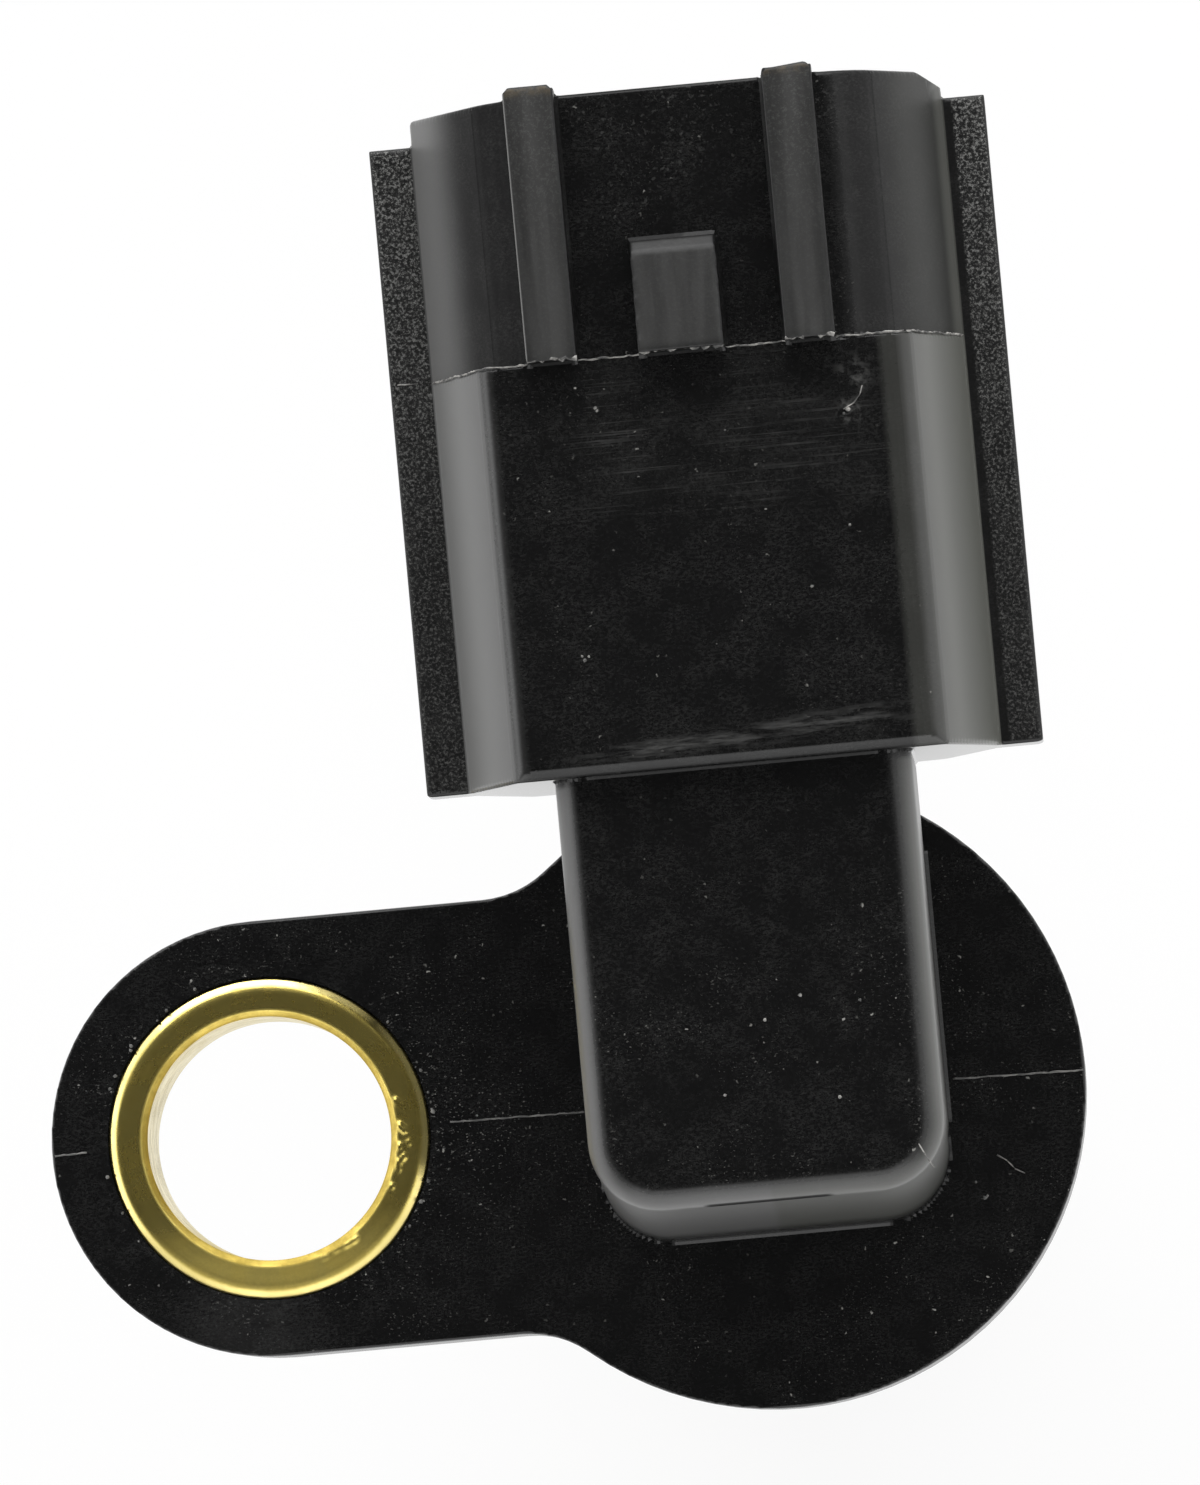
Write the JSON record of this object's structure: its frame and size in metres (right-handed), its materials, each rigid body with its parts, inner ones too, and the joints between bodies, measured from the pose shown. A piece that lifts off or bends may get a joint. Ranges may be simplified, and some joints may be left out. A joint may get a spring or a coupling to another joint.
{
  "type": "crankshaft position sensor",
  "caption": "Right-angle engine speed sensor: moulded body with a shrouded side connector, a bolt ear on a brass sleeve and a sealed round nose with a rubber ring.",
  "frame": {"origin": "on the sensor axis, in the flange's mounting face", "axes": "+Z along the sensor axis away from the engine, +Y out of the connector's mouth, +X from the bolt ear to the flange's round end"},
  "size_m": [0.0281, 0.0353, 0.0423],
  "materials": {
    "housing_plastic": "black glass-filled moulding, dusty, with fine scratches",
    "bushing_brass": "turned brass with bright chamfers",
    "ring_rubber": "matt black rubber",
    "cap_plastic": "smooth black moulding",
    "terminal_metal": "tinned stamped strip",
    "holder_plastic": "natural moulding",
    "chip_resin": "black moulded resin",
    "lead_metal": "tinned copper alloy",
    "plate_steel": "plain stamped steel",
    "magnet_metal": "nickel-plated sintered magnet",
    "capacitor_body": "fired ceramic body with tinned ends"
  },
  "bodies": {
    "root": {"housing": "housing_plastic", "bolt_bushing": "bushing_brass", "o_ring": "ring_rubber", "tip_cap": "cap_plastic", "terminal_supply": "terminal_metal", "terminal_ground": "terminal_metal", "terminal_signal": "terminal_metal", "element_holder": "holder_plastic", "hall_ic": "chip_resin", "lead_supply": "lead_metal", "lead_ground": "lead_metal", "lead_signal": "lead_metal", "flux_plate": "plate_steel", "bias_magnet": "magnet_metal", "capacitor_supply": "capacitor_body", "capacitor_signal": "capacitor_body"}
  },
  "joints": []
}
